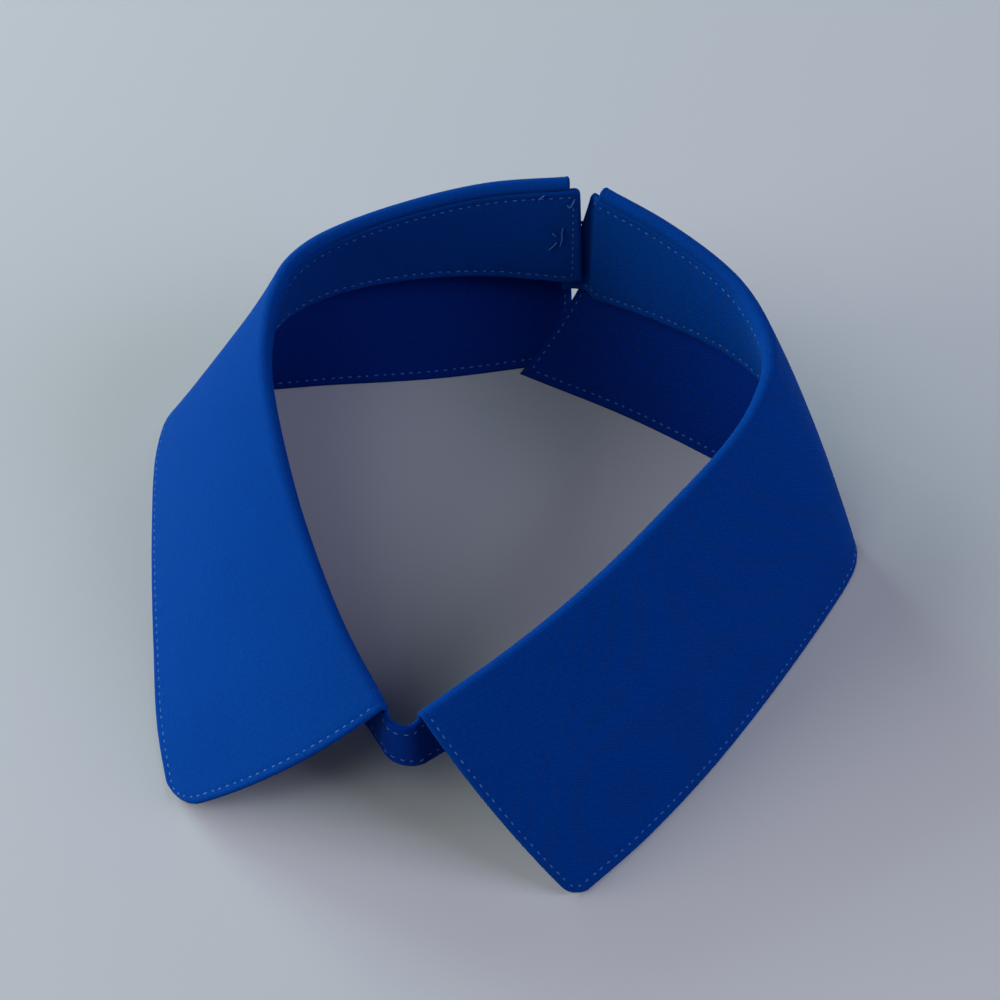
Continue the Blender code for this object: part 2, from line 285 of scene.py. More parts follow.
@dataclass(frozen=True)
class Half:
    """One half of the collar, read from its table of sections.

    The side is 1 on the left, whose sections run clockwise, and -1 on the right. The lead is
    how far the leaf's front end reaches past the band's turn into the front loop.
    """

    rows: tuple[Section, ...]
    side: float
    lead: float
    lead_from: float = 0.9
    roll_radius: float = 1.1
    roll_rise: float = 1.2
    band_drop: float = 1.7
    tuck: float = 0.55

    def read(self, shares: np.ndarray) -> np.ndarray:
        """Reads every column of the table at the given shares."""
        table = np.array(self.rows)
        return curve_through(table[:, 0], table, np.asarray(shares, dtype=float))

    def outward(self, shares: np.ndarray, near: float = 0.01) -> np.ndarray:
        """Gives the level direction out of the neck.

        Args:
            shares: Places along the half.
            near: Share to either side that the direction is taken over.

        Returns:
            One unit vector for each place.
        """
        ahead = self.read(np.clip(shares + near, 0.0, 1.0))[:, 1:3]
        behind = self.read(np.clip(shares - near, 0.0, 1.0))[:, 1:3]
        along = unit(ahead - behind)
        return np.stack((along[:, 1], -along[:, 0], np.zeros(len(along))), axis=1) * self.side

    def band_edges(self, shares: np.ndarray) -> tuple[np.ndarray, np.ndarray]:
        """Gives the two edges of the band's middle surface.

        Args:
            shares: Places along the half.

        Returns:
            The points of the top and of the foot.
        """
        rows, out = self.read(shares), self.outward(shares)
        top = rows[:, ROLL] - out * self.roll_radius - UP * self.band_drop
        foot = top.copy()
        foot[:, 2] = rows[:, FOOT_Z]
        return top, foot + out * rows[:, FOOT_OUT, None]

    def leaf_lines(
        self, shares: np.ndarray, roll_steps: int = 16, fall_steps: int = 60
    ) -> np.ndarray:
        """Gives the leaf's middle line at each share, from its seam over the roll to the hem.

        Args:
            shares: Places along the leaf.
            roll_steps: Points round the roll.
            fall_steps: Points down the fall.

        Returns:
            An array of lines by points by coordinates.
        """
        rows, out = self.read(shares), self.outward(shares)
        radius = self.roll_radius
        forward = np.stack((-out[:, 1], out[:, 0], np.zeros(len(out))), axis=1) * self.side
        late = np.clip((shares - self.lead_from) / (1.0 - self.lead_from), 0.0, 1.0)
        ahead = forward * (self.lead * late**2)[:, None]
        centre = rows[:, ROLL] - UP * radius + ahead
        hem = np.concatenate((rows[:, HEM], np.zeros((len(rows), 1))), axis=1) + ahead
        fall = hem - (centre + out * radius)
        across = unit(np.cross(fall, np.cross(out, UP)))
        across *= np.sign((across * out).sum(axis=1, keepdims=True))
        reach = (fall * out).sum(axis=1) + 2.0 * rows[:, BOW]
        end = np.maximum(np.arctan2(reach, -fall[:, 2]), 0.0)
        lines = [centre - out * radius - UP * (self.roll_rise - radius + self.tuck)]
        for i in range(roll_steps + 1):
            angle = (math.pi - (math.pi - end) * i / roll_steps)[:, None]
            lines.append(centre + (out * np.cos(angle) + UP * np.sin(angle)) * radius)
        start = lines[-1]
        bulge = across * rows[:, BOW, None] + forward * rows[:, SWAY, None]
        pull = (start + hem) / 2 + bulge * 2.0
        for i in range(fall_steps):
            t = (i + 1) / fall_steps
            lines.append(start * (1 - t) ** 2 + pull * 2 * t * (1 - t) + hem * t**2)
        return np.stack(lines, axis=1)


@dataclass
class Cloth:
    """A smooth middle surface, read by share along it and millimetres down it."""

    grid: np.ndarray
    lengths: np.ndarray
    turned: float
    near_share: float = 0.006
    near_down: float = 0.4

    @classmethod
    def from_lines(cls, lines: np.ndarray, turned: float, finely: int) -> "Cloth":
        """Spaces each line's points evenly, so that a place down it is a true length.

        Args:
            lines: Lines by points by coordinates.
            turned: Factor that makes the normal point out of the neck.
            finely: Steps down each line.

        Returns:
            The surface.
        """
        even = np.linspace(0.0, 1.0, finely + 1)
        runs = [run_along(line) for line in lines]
        grid = [read_along(run, line, even * run[-1]) for run, line in zip(runs, lines)]
        return cls(np.array(grid), np.array([run[-1] for run in runs]), turned)

    def length(self, share: np.ndarray) -> np.ndarray:
        """Gives the width of the cloth in millimetres at each share."""
        return np.interp(share, np.linspace(0.0, 1.0, len(self.lengths)), self.lengths)

    def at(self, share: np.ndarray, down: np.ndarray) -> np.ndarray:
        """Gives the point of the surface at each share and depth.

        Args:
            share: Places along the cloth, 0 to 1.
            down: Millimetres down it from its first edge.

        Returns:
            One point for each place.
        """
        across = np.clip(down / self.length(share), 0.0, 1.0) * (self.grid.shape[1] - 1)
        along = np.clip(share, 0.0, 1.0) * (self.grid.shape[0] - 1)
        i = np.minimum(along.astype(int), self.grid.shape[0] - 2)
        j = np.minimum(across.astype(int), self.grid.shape[1] - 2)
        a, b = (along - i)[..., None], (across - j)[..., None]
        near = self.grid[i, j] * (1 - b) + self.grid[i, j + 1] * b
        far = self.grid[i + 1, j] * (1 - b) + self.grid[i + 1, j + 1] * b
        return near * (1 - a) + far * a

    def normal(self, share: np.ndarray, down: np.ndarray) -> np.ndarray:
        """Gives the direction out of the neck at each share and depth.

        Args:
            share: Places along the cloth, 0 to 1.
            down: Millimetres down it from its first edge.

        Returns:
            One unit vector for each place.
        """
        ahead = self.at(np.minimum(share + self.near_share, 1.0), down)
        behind = self.at(np.maximum(share - self.near_share, 0.0), down)
        lower = self.at(share, np.minimum(down + self.near_down, self.length(share)))
        upper = self.at(share, np.maximum(down - self.near_down, 0.0))
        return unit(np.cross(ahead - behind, lower - upper)) * self.turned


@dataclass
class FoldedCloth:
    """A piece of twill folded double, with turned edges sewn down near them.

    The stitches sink into a groove at the margin, and the cloth swells between them and its
    edge. It lies flat on the table, and its waves fade below the settling height.
    """

    name: str
    cloth: Cloth
    span: float
    thickness: float
    columns: int
    rows_between: int
    first_zone: tuple[float, ...]
    last_zone: tuple[float, ...]
    waves: tuple[Wave, ...]
    margin: float = 2.0
    end_margin: float = 2.0
    groove: float = 0.10
    groove_reach: float = 0.45
    groove_first: bool = True
    swell_place: float = 0.45
    swell_reach: float = 0.7
    swell_share: float = 0.5
    point_radius: float = 0.0
    point_reach: float = 2.5
    corner_radius: float = 0.0
    corner_reach: float = 3.0
    ripple: float = 0.05
    pucker_reach: float = 3.0
    settling: float = 3.0
    weld: float = 2e-6
    # The face that takes painted shade, darker as if shade falls on it.
    painted_shade_side: Face = Face.INNER

    def along(self) -> np.ndarray:
        """Gives the mesh's columns, closer together at both ends.

        Returns:
            The share of each column.
        """
        ends = np.array(EDGE_STEPS) / self.span
        middle = np.linspace(ends[-1], 1.0 - ends[-1], self.columns + 1)
        return np.concatenate((ends[:-1], middle, (1.0 - ends[:-1])[::-1]))

    def fraction_rows(self) -> list[tuple[float, float]]:
        """Gives the mesh's rows, closer together at both edges.

        Returns:
            A part of the width, and millimetres added to it, for each row.
        """
        first, last = self.first_zone[-1], self.last_zone[-1]
        rows = [(0.0, step) for step in self.first_zone]
        for k in range(1, self.rows_between):
            part = k / self.rows_between
            rows.append((part, first * (1 - part) - last * part))
        return rows + [(1.0, -step) for step in reversed(self.last_zone)]

    def drawn(self, share: np.ndarray, below: np.ndarray) -> np.ndarray:
        """Draws shares back near the front edge, so that the point of a leaf is round.

        Args:
            share: Places along the leaf.
            below: Millimetres from the hem.

        Returns:
            The drawn places.
        """
        if not self.point_radius:
            return share
        radius = self.point_radius
        bend = 1.0 - self.point_reach * radius / self.span
        reach = np.sqrt(np.maximum(radius**2 - (radius - np.minimum(below, radius)) ** 2, 0.0))
        limit = 1.0 - (radius - reach) / self.span
        moved = bend + (share - bend) * (limit - bend) / (1.0 - bend)
        return np.where(share > bend, moved, share)

    def lowered(self, plain: np.ndarray, down: np.ndarray) -> np.ndarray:
        """Moves places near a top corner of the band down, so that the corner is round.

        Args:
            plain: Places along the cloth.
            down: Millimetres from its first edge.

        Returns:
            Lowered depths.
        """
        if not self.corner_radius:
            return down
        radius = self.corner_radius
        ends = np.minimum(np.minimum(plain, 1.0 - plain) * self.span, radius)
        drop = radius - np.sqrt(np.maximum(radius**2 - (radius - ends) ** 2, 0.0))
        return down + drop * np.clip(1.0 - down / (self.corner_reach * radius), 0.0, 1.0)

    def places(self) -> tuple[np.ndarray, np.ndarray, np.ndarray, np.ndarray]:
        """Gives the place of every vertex of one face, by column and row.

        Returns:
            Its drawn share, its depth, its plain share and the cloth's width there.
        """
        plain = np.repeat(self.along()[:, None], len(self.fraction_rows()), axis=1)
        parts = np.array(self.fraction_rows())
        share = plain
        for _ in range(2):
            width = self.cloth.length(share)
            down = width * parts[None, :, 0] + parts[None, :, 1]
            share = self.drawn(plain, width - down)
        return share, down, plain, self.cloth.length(share)

    def depth(self, plain: np.ndarray, down: np.ndarray, width: np.ndarray) -> np.ndarray:
        """Gives half the thickness of the folded cloth at each place.

        Args:
            plain: Places along the cloth.
            down: Millimetres from its first edge.
            width: Width of the cloth there.

        Returns:
            Half thicknesses in millimetres.
        """
        ends = np.minimum(plain, 1.0 - plain) * self.span
        hem = width - down
        edge = np.minimum(np.minimum(ends, hem), down)
        radius = self.thickness / 2
        round_off = np.sqrt(np.maximum(1.0 - (1.0 - np.minimum(edge / radius, 1.0)) ** 2, 0.0))
        sewn = np.minimum(ends * self.margin / self.end_margin, hem)
        if self.groove_first:
            sewn = np.minimum(sewn, down)
        sink = np.exp(-(((sewn - self.margin) / self.groove_reach) ** 2))
        swell = np.exp(-(((sewn - self.margin * self.swell_place) / self.swell_reach) ** 2))
        relief = (swell * self.swell_share - sink) * self.groove
        return (radius + relief) * round_off

    def lift(
        self, plain: np.ndarray, down: np.ndarray, width: np.ndarray, height: np.ndarray
    ) -> np.ndarray:
        """Gives how far the cloth lies off its smooth surface.

        Args:
            plain: Places along the cloth.
            down: Millimetres from its first edge.
            width: Width of the cloth there.
            height: Its height above the table there.

        Returns:
            Millimetres out of the neck.
        """
        run = plain * self.span
        total = np.zeros_like(run)
        for wave in self.waves:
            x = (plain - wave.share) / wave.share_reach
            y = (down / width - wave.down) / wave.down_reach
            turned = x * math.cos(wave.slant) + y * math.sin(wave.slant)
            other = y * math.cos(wave.slant) - x * math.sin(wave.slant)
            total += wave.height * np.exp(-(turned**2) - other**2)
        edge = np.minimum(width - down, np.minimum(plain, 1.0 - plain) * self.span)
        near = np.exp(-(((edge - self.margin) / self.pucker_reach) ** 2))
        pucker = np.sin(run * 0.83 + 1.3 * np.sin(run * 0.21)) + 0.6 * np.sin(run * 1.37 + 2.0)
        soft = np.sin(run * 0.11 + down * 0.05) * np.sin(down * 0.16 + 1.0)
        total += self.ripple * (near * pucker + soft)
        return total * np.clip(height / self.settling, 0.0, 1.0)

    def build(self) -> bpy.types.Object:
        """Builds the folded cloth as one closed mesh, with its own cloth coordinates.

        Returns:
            The piece.
        """
        share, down, plain, width = self.places()
        middle = self.cloth.at(share, self.lowered(plain, down))
        normal = self.cloth.normal(share, down)
        half = self.depth(plain, down, width)
        lift = self.lift(plain, down, width, middle[..., 2])
        mesh = bmesh.new()
        mesh.loops.layers.uv.new("Cloth")
        for face in Face:
            points = middle + normal * (lift + face.value * half)[..., None]
            points[..., 2] = np.maximum(points[..., 2], 0.0)
            # The face in shade is set far down in cloth coordinates, where the twill paints shade
            # on it.
            far = PAINTED_SHADE_AT if face is self.painted_shade_side else 0.0
            spots = np.stack((plain * self.span * self.cloth.turned, down + far), axis=-1)
            self.add_face(mesh, points, spots)
        bmesh.ops.remove_doubles(mesh, verts=mesh.verts[:], dist=self.weld)
        bmesh.ops.recalc_face_normals(mesh, faces=mesh.faces[:])
        return link(self.name, mesh)

    def add_face(self, mesh: bmesh.types.BMesh, points: np.ndarray, spots: np.ndarray) -> None:
        """Adds one face of the cloth: a grid whose vertices move to their places.

        Args:
            mesh: The mesh that it joins.
            points: Points in millimetres, by column and row.
            spots: Cloth coordinates, by column and row.
        """
        columns, rows = points.shape[0] - 1, points.shape[1] - 1
        layer = mesh.loops.layers.uv["Cloth"]
        made = bmesh.ops.create_grid(mesh, x_segments=columns, y_segments=rows, size=0.5)
        places = {}
        for vertex in made["verts"]:
            i, j = round((vertex.co.x + 0.5) * columns), round((vertex.co.y + 0.5) * rows)
            vertex.co = (points[i, j] + SHIFT) * MM
            places[vertex] = spots[i, j]
        for polygon in {f for vertex in made["verts"] for f in vertex.link_faces}:
            for loop in polygon.loops:
                loop[layer].uv = places[loop.vert]

    def on_face(
        self, share: np.ndarray, down: np.ndarray, face: Face
    ) -> tuple[np.ndarray, np.ndarray]:
        """Gives points on one face of the cloth, and the way out from each.

        Args:
            share: Places along the cloth.
            down: Millimetres from its first edge.
            face: Which face.

        Returns:
            The points in millimetres, and unit vectors.
        """
        width = self.cloth.length(share)
        drawn = self.drawn(share, width - down)
        normal = self.cloth.normal(drawn, down)
        middle = self.cloth.at(drawn, self.lowered(share, down))
        lift = self.lift(share, down, width, middle[..., 2])
        half = self.depth(share, down, width)
        return middle + normal * (lift + face.value * half)[..., None], normal * face.value


def link(name: str, mesh: bmesh.types.BMesh, flat_caps: bool = False) -> bpy.types.Object:
    """Shades a finished mesh smooth and puts it into the scene.

    Args:
        name: The piece's name.
        mesh: Its mesh, which is freed.
        flat_caps: Whether faces without four sides stay flat, such as a thread's ends.

    Returns:
        The piece.
    """
    for polygon in mesh.faces:
        polygon.smooth = len(polygon.verts) == 4 or not flat_caps
    data = bpy.data.meshes.new(name)
    mesh.to_mesh(data)
    mesh.free()
    piece = bpy.data.objects.new(name, data)
    bpy.context.collection.objects.link(piece)
    return piece


def link_threads(name: str, mesh: bmesh.types.BMesh) -> bpy.types.Object:
    """Turns the faces of a mesh of threads outwards, and links it with flat ends."""
    bmesh.ops.recalc_face_normals(mesh, faces=mesh.faces[:])
    return link(name, mesh, flat_caps=True)


def dress(piece: bpy.types.Object, material: bpy.types.Material, slot: str, *nodes: str) -> None:
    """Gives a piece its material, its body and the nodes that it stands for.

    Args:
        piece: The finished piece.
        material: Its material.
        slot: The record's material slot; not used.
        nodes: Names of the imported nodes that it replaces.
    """
    piece.data.materials.append(material)
    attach(piece, "root")
    if nodes:
        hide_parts(*nodes)
    LOG.info("%s: %d faces", piece.name, len(piece.data.polygons))


def add_node(
    tree: bpy.types.NodeTree,
    kind: str,
    sockets: dict[str | int, Value] | None = None,
    **options: str,
) -> bpy.types.Node:
    """Adds a shader node to a material.

    Args:
        tree: The material's nodes.
        kind: The node's type, without the ShaderNode before it.
        sockets: Values by the name or the number of a socket.
        options: Values of the node's own options.

    Returns:
        The node.
    """
    node = tree.nodes.new("ShaderNode" + kind)
    for option, value in options.items():
        setattr(node, option, value)
    for socket, value in (sockets or {}).items():
        node.inputs[socket].default_value = value
    return node


def wire(
    tree: bpy.types.NodeTree, *joins: tuple[bpy.types.Node, str | int, bpy.types.Node, str | int]
) -> None:
    """Joins nodes, each join from a node's output to another node's input."""
    for source, output, target, socket in joins:
        tree.links.new(source.outputs[output], target.inputs[socket])


@dataclass(frozen=True)
class Finish:
    """A finish with one Principled shader that its kinds build on."""

    name: str
    colour: Colour
    roughness: float

    def shader(
        self, **sockets: Value
    ) -> tuple[bpy.types.Material, bpy.types.Node, bpy.types.NodeTree]:
        """Makes the material with its shader.

        Args:
            sockets: Values of the shader's other sockets, with _ for a space.

        Returns:
            The material, its shader and its nodes.
        """
        material = bpy.data.materials.new(self.name)
        material.use_nodes = True
        tree = material.node_tree
        node = tree.nodes["Principled BSDF"]
        node.inputs["Base Color"].default_value = (*self.colour, 1.0)
        node.inputs["Roughness"].default_value = self.roughness
        for socket, value in sockets.items():
            node.inputs[socket.replace("_", " ")].default_value = value
        return material, node, tree

    def two_tone(
        self,
        tree: bpy.types.NodeTree,
        shader: bpy.types.Node,
        texture: bpy.types.Node,
        darker: float,
    ) -> None:
        """Varies the colour by a texture on object coordinates.

        Args:
            tree: The material's nodes.
            shader: Its shader.
            texture: The texture.
            darker: The darker tone's share of the colour.
        """
        place = add_node(tree, "TexCoord")
        dark = (*(c * darker for c in self.colour), 1.0)
        tone = add_node(tree, "MixRGB", {"Color1": dark, "Color2": (*self.colour, 1.0)})
        wire(
            tree,
            (place, "Object", texture, "Vector"),
            (texture, "Fac", tone, "Fac"),
            (tone, "Color", shader, "Base Color"),
        )


@dataclass(frozen=True)
class Twill(Finish):
    """Fine diagonal twill: ribs, single yarns, a faint unevenness of the dye and painted shade on
    one face.
    """

    shade: Colour = (0.0002, 0.018, 0.130)
    # Factors on the colour of the side in shade: painted shade, darker and less green than the lit
    # side.
    painted_shade_side: Colour = (1.0, 0.55, 0.80)
    sheen: float = 0.12
    sheen_tint: Colour = (0.12, 0.5, 1.0)
    rib_pitch: float = 0.45
    yarn_pitch: float = 0.50
    yarn_depth: float = 0.45
    weave_share: float = 0.66
    cloud_share: float = 0.35
    dye_share: float = 0.52
    relief: float = 0.00012

    # A wave texture's scale for bands one millimetre apart, across its diagonal and its y.
    DIAGONAL = 0.444
    STRAIGHT = 0.314

    def build(self) -> bpy.types.Material:
        """Builds the material on the piece's cloth coordinates, in millimetres.

        Returns:
            The material.
        """
        material, shader, tree = self.shader(
            Specular_IOR_Level=0.02,
            Sheen_Weight=self.sheen,
            Sheen_Roughness=0.3,
            Sheen_Tint=(*self.sheen_tint, 1.0),
        )
        place = add_node(tree, "UVMap", uv_map="Cloth")
        rib_look = {"Scale": self.DIAGONAL / self.rib_pitch, "Distortion": 0.15, "Detail": 1.0}
        ribs = add_node(tree, "TexWave", rib_look, bands_direction="DIAGONAL")
        yarn_look = {"Scale": self.STRAIGHT / self.yarn_pitch, "Distortion": 0.3}
        yarns = add_node(tree, "TexWave", yarn_look, bands_direction="Y")
        cloudy = add_node(tree, "TexNoise", {"Scale": 0.06, "Detail": 4.0})
        slub = add_node(tree, "TexNoise", {"Scale": 1.1, "Detail": 3.0})
        depth = {1: self.yarn_depth, 2: 1.0 - self.yarn_depth}
        soft = add_node(tree, "Math", depth, operation="MULTIPLY_ADD")
        weave = add_node(tree, "Math", operation="MULTIPLY")
        uneven = add_node(tree, "Math", {1: self.cloud_share}, operation="MULTIPLY_ADD")
        dye = add_node(tree, "Math", {1: self.dye_share}, operation="MULTIPLY")
        blend = add_node(tree, "Math", {1: self.weave_share}, operation="MULTIPLY_ADD")
        tones = {"Color1": (*self.shade, 1.0), "Color2": (*self.colour, 1.0)}
        colour = add_node(tree, "MixRGB", tones)
        parts = add_node(tree, "SeparateXYZ")
        # Cloth coordinates past half of that far span take the darker tint: painted shade on the
        # face in shade.
        side = add_node(tree, "Math", {1: PAINTED_SHADE_AT / 2}, operation="GREATER_THAN")
        painted_shade_mix = add_node(tree, "MixRGB", {"Color2": (*self.painted_shade_side, 1.0)}, blend_type="MULTIPLY")
        bump = add_node(tree, "Bump", {"Strength": 0.45, "Distance": self.relief})
        for texture in (ribs, yarns, cloudy, slub):
            wire(tree, (place, "UV", texture, "Vector"))
        wire(
            tree,
            (yarns, "Fac", soft, 0),
            (ribs, "Fac", weave, 0),
            (soft, 0, weave, 1),
            (cloudy, "Fac", uneven, 0),
            (slub, "Fac", uneven, 2),
            (uneven, 0, dye, 0),
            (weave, 0, blend, 0),
            (dye, 0, blend, 2),
            (blend, 0, colour, "Fac"),
            (place, "UV", parts, 0),
            (parts, "Y", side, 0),
            (side, 0, painted_shade_mix, "Fac"),
            (colour, "Color", painted_shade_mix, "Color1"),
            (painted_shade_mix, "Color", shader, "Base Color"),
            (weave, 0, bump, "Height"),
            (bump, "Normal", shader, "Normal"),
        )
        return material


@dataclass(frozen=True)
class Thread(Finish):
    """Sewing thread: two plies twisted together."""

    twist_scale: float = 900.0
    ply_shade: float = 0.55
    relief: float = 0.00005

    def build(self) -> bpy.types.Material:
        """Builds the thread's material on object coordinates.

        Returns:
            The material.
        """
        material, shader, tree = self.shader(Specular_IOR_Level=0.15)
        look = {"Scale": self.twist_scale}
        twist = add_node(tree, "TexWave", look, bands_direction="DIAGONAL")
        self.two_tone(tree, shader, twist, self.ply_shade)
        bump = add_node(tree, "Bump", {"Strength": 0.4, "Distance": self.relief})
        wire(tree, (twist, "Fac", bump, "Height"), (bump, "Normal", shader, "Normal"))
        return material


@dataclass(frozen=True)
class Plastic(Finish):
    """Moulded shirt button: glossy, with faint clouding."""

    cloud_scale: float = 600.0
    cloud_shade: float = 0.6

    def build(self) -> bpy.types.Material:
        """Builds the button's material on object coordinates.

        Returns:
            The material.
        """
        material, shader, tree = self.shader(Coat_Weight=0.4, Coat_Roughness=0.12)
        cloud = add_node(tree, "TexNoise", {"Scale": self.cloud_scale, "Detail": 3.0})
        self.two_tone(tree, shader, cloud, self.cloud_shade)
        return material


@dataclass(frozen=True)
class Paper(Finish):
    """The pale, even surface that the collar stands on."""

    mottle_scale: float = 3.0
    mottle_shade: float = 0.97

    def build(self) -> bpy.types.Material:
        """Builds the floor's material with a faint mottle.

        Returns:
            The material.
        """
        material, shader, tree = self.shader(Specular_IOR_Level=0.2)
        mottle = add_node(tree, "TexNoise", {"Scale": self.mottle_scale})
        self.two_tone(tree, shader, mottle, self.mottle_shade)
        return material


def thread_tube(mesh: bmesh.types.BMesh, path: np.ndarray, radius: float, sides: int = 6) -> None:
    """Adds a thread along a path of points, round, a little thinner at its closed ends.

    Args:
        mesh: The mesh that it joins.
        path: Points in millimetres.
        radius: Its radius in millimetres.
        sides: Sides of its section.
    """
    points = [Vector((p + SHIFT) * MM) for p in path]
    last = len(points) - 1
    rings = []
    turn = Matrix.Identity(4)
    for k, point in enumerate(points):
        way = (points[min(k + 1, last)] - points[max(k - 1, 0)]).normalized()
        turn = turn_to(turn, way) if k else way.to_track_quat("Z", "Y").to_matrix().to_4x4()
        circle = bmesh.ops.create_circle(
            mesh,
            cap_ends=False,
            segments=sides,
            radius=radius * MM * (0.6 if k in (0, last) else 1.0),
            matrix=Matrix.Translation(point) @ turn,
        )
        rings.append(circle["verts"])
    for first, second in zip(rings, rings[1:]):
        for k in range(sides):
            after = (k + 1) % sides
            mesh.faces.new((first[k], first[after], second[after], second[k]))
    mesh.faces.new(rings[0])
    mesh.faces.new(rings[-1])


def turn_to(before: Matrix, way: Vector) -> Matrix:
    """Turns a frame the shortest way, so that its z axis points along a path."""
    axis = before.to_3x3() @ Vector(UP)
    return axis.rotation_difference(way).to_matrix().to_4x4() @ before


@dataclass
class SeamLine:
    """A row of machine stitches on both faces of a folded cloth."""

    name: str
    cloth: FoldedCloth
    path: np.ndarray
    pitch: float = 2.05
    stitch: float = 0.95
    radius: float = 0.23
    flatness: float = 0.8
    wander: float = 0.05
    unevenness: float = 0.18
    batch: int = 16

    def rounded_path(self, reach: int = 2) -> np.ndarray:
        """Rounds the corners of the row by an average over near points.

        Args:
            reach: Points taken in to either side.

        Returns:
            Rows of share and depth.
        """
        padded = np.pad(self.path, ((reach, reach), (0, 0)), mode="edge")
        shifted = [padded[k : k + len(self.path)] for k in range(2 * reach + 1)]
        return np.mean(shifted, axis=0)

    def places(self) -> list[Matrix]:
        """Gives the place, turn and size of every stitch.

        Returns:
            A matrix for each stitch, on the outer face and then on the inner.
        """
        made = []
        path = self.rounded_path()
        for face in Face:
            points, normals = self.cloth.on_face(path[:, 0], path[:, 1], face)
            run = run_along(points)
            number = np.arange(round(run[-1] / self.pitch))
            shifted = number + 0.5 + self.wander * np.sin(number * 2.3)
            here = shifted * run[-1] / len(number)
            start, middle, end = (
                read_along(run, points, here + part * self.stitch / 2) for part in (-1, 0, 1)
            )
            out = read_along(run, normals, here)
            for k, (a, b, centre, way) in enumerate(zip(start, end, middle, out)):
                along = Vector(b - a).normalized()
                side = Vector(way).cross(along).normalized()
                turn = Matrix((along, side, along.cross(side))).transposed().to_4x4()
                uneven = 1.0 + self.unevenness * math.sin(k * 1.7 + math.sin(k * 0.9))
                half = np.linalg.norm(b - a) / 2 * MM * uneven
                round_by = self.radius * MM
                size = Matrix.Diagonal((half, round_by, round_by * self.flatness, 1.0))
                spot = Matrix.Translation(Vector((centre + SHIFT) * MM))
                made.append(spot @ turn @ size @ ACROSS)
        return made

    def build(self) -> bpy.types.Object:
        """Builds every stitch of the row as a small lozenge of thread, a batch at a time.

        Returns:
            The piece.
        """
        whole = bmesh.new()
        places = self.places()
        for first in range(0, len(places), self.batch):
            few = bmesh.new()
            for place in places[first : first + self.batch]:
                bmesh.ops.create_uvsphere(few, u_segments=6, v_segments=4, radius=1.0, matrix=place)
            bmesh.ops.recalc_face_normals(few, faces=few.faces[:])
            data = bpy.data.meshes.new("few")
            few.to_mesh(data)
            few.free()
            whole.from_mesh(data)
            bpy.data.meshes.remove(data)
        return link(self.name, whole)


@dataclass
class Leaf:
    """One turned-down leaf with its stitches."""

    name: str
    half: Half
    waves: tuple[Wave, ...]
    finish: bpy.types.Material
    thread: bpy.types.Material
    point_radius: float
    span: float = 195.0
    thickness: float = 1.2
    end_margin: float = 1.35
    seam_from: float = 2.4
    columns: int = 260
    sections: int = 401

    SEAM_ZONE = (0.0, 0.15, 0.5, 1.0, 1.4, 1.8, 2.2, 2.6, 3.0, 3.4, 3.8, 4.3, 5.0, 6.0)

    def build(self) -> None:
        """Builds and dresses the leaf and its stitches."""
        lines = self.half.leaf_lines(np.linspace(0.0, 1.0, self.sections))
        folded = FoldedCloth(
            name=self.name + "_cloth",
            cloth=Cloth.from_lines(lines, turned=-self.half.side, finely=240),
            span=self.span,
            thickness=self.thickness,
            columns=self.columns,
            rows_between=42,
            first_zone=self.SEAM_ZONE,
            last_zone=EDGE_STEPS + (3.4, 4.5),
            waves=self.waves,
            end_margin=self.end_margin,
            groove_first=False,
            point_radius=self.point_radius,
        )
        piece = folded.build()
        dress(piece, self.finish, "cloth", self.name)
        seam = SeamLine(self.name + "_stitches", folded, self.rim_path(folded)).build()
        dress(seam, self.thread, "thread")

    def rim_path(self, folded: FoldedCloth, step: float = 1.0) -> np.ndarray:
        """Gives the line of stitches along the back edge, the hem and the front edge.

        Args:
            folded: The leaf's cloth.
            step: Millimetres between points.

        Returns:
            Rows of share and depth.
        """
        inset = folded.end_margin / folded.span
        ends = folded.cloth.length(np.array([inset, 1.0 - inset])) - folded.margin
        hem = np.arange(inset, 1.0 - inset, step / folded.span)
        back = np.arange(self.seam_from, ends[0], step)
        front = np.arange(ends[1], self.seam_from, -step)
        return np.vstack(
            (
                np.stack((np.full(len(back), inset), back), 1),
                np.stack((hem, folded.cloth.length(hem) - folded.margin), 1),
                np.stack((np.full(len(front), 1.0 - inset), front), 1),
            )
        )


